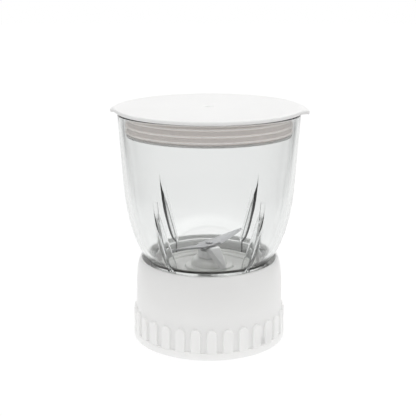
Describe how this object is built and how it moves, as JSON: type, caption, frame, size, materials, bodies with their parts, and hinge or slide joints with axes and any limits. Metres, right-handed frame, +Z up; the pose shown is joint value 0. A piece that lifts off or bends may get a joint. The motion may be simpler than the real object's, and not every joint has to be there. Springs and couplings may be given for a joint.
{
  "type": "mill jar with blade base",
  "caption": "Clear ribbed mill jar with a press-in white lid, screwed onto a white ring that carries crossed blades on a spindle with a drive dog.",
  "frame": {"origin": "on the jar's axis, at the foot of the base ring, which is the level the part stands on", "axes": "+Z up along the axis of the jar and spindle, +X to the right and -Y to the front; the lid's tabs lie close to the X axis"},
  "size_m": [0.124, 0.1164, 0.1487],
  "materials": {
    "white_plastic": "satin white moulding",
    "clear_jar": "clear, polished",
    "silicone": "translucent soft silicone",
    "grey_plastic": "satin light grey moulding",
    "steel": "brushed",
    "dark_steel": "dark satin",
    "bronze": "sintered",
    "black_rubber": "moulded",
    "nylon": "natural",
    "black_plastic": "moulded"
  },
  "bodies": {
    "base": {"base_collar": "white_plastic", "blade_carrier": "grey_plastic", "bearing_housing": "dark_steel", "upper_bush": "bronze", "lower_bush": "bronze", "shaft_seal": "black_rubber", "housing_ring": "black_rubber", "housing_nut": "steel", "carrier_screw_1": "steel", "carrier_screw_2": "steel", "carrier_screw_3": "steel"},
    "gasket": {"jar_gasket": "silicone"},
    "jar": {"jar": "clear_jar"},
    "lid": {"lid": "white_plastic", "lid_seal": "silicone"},
    "spindle": {"blade_shaft": "steel", "upper_blade": "steel", "lower_blade": "steel", "blade_washer": "steel", "thrust_washer_steel": "steel", "thrust_washer_nylon": "nylon", "shaft_circlip": "dark_steel", "coupling_insert": "steel", "drive_coupling": "black_plastic"}
  },
  "joints": [
    {"name": "jar_turn", "type": "hinge", "parent": "base", "child": "gasket", "pos_m": [0, 0, 0.033], "axis": [0, 0, 1], "range_deg": [0, 200]},
    {"name": "jar_rise", "type": "slide", "parent": "gasket", "child": "jar", "axis": [0, 0, 1], "range_m": [0, 0.0178]},
    {"name": "lid_lift", "type": "slide", "parent": "jar", "child": "lid", "axis": [0, 0, 1], "range_m": [0, 0.06]},
    {"name": "spindle_spin", "type": "hinge", "parent": "base", "child": "spindle", "pos_m": [0, 0, 0.04], "axis": [0, 0, 1], "continuous": true}
  ],
  "couplings": [
    {"joint": "jar_rise", "follows": "jar_turn", "m_per_rad": 0.005093}
  ]
}
